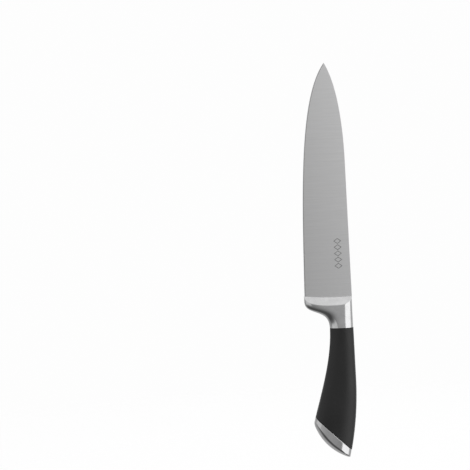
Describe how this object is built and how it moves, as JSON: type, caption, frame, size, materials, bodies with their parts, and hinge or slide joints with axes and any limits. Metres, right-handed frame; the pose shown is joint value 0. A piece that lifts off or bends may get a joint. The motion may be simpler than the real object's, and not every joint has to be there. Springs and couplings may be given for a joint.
{
  "type": "chef's knife",
  "caption": "Chef's knife with a straight spine, curved edge, cast bolster, soft swelling grip and slanted steel end cap, hung tip up.",
  "frame": {"origin": "middle of the blade patch that a magnetic bar holds, on the rear face, above the bolster", "axes": "+Z towards the tip, +X towards the spine, -X towards the cutting edge, +Y out of the rear face towards the bar"},
  "size_m": [0.0407, 0.021, 0.3372],
  "materials": {
    "satin_steel": "satin, ground across the blade",
    "cast_steel": "satin polished",
    "drawn_steel": "as drawn",
    "soft_rubber": "smooth matte",
    "core_plastic": "as moulded",
    "plug_plastic": "as moulded"
  },
  "bodies": {
    "root": {"blade": "satin_steel", "bolster": "cast_steel", "core_left": "core_plastic", "core_right": "core_plastic", "tang_rivet_front": "drawn_steel", "tang_rivet_rear": "drawn_steel", "grip_sleeve": "soft_rubber", "end_cap": "cast_steel", "cap_filler": "plug_plastic", "cap_stud_upper": "drawn_steel", "cap_stud_lower": "drawn_steel"}
  },
  "joints": []
}
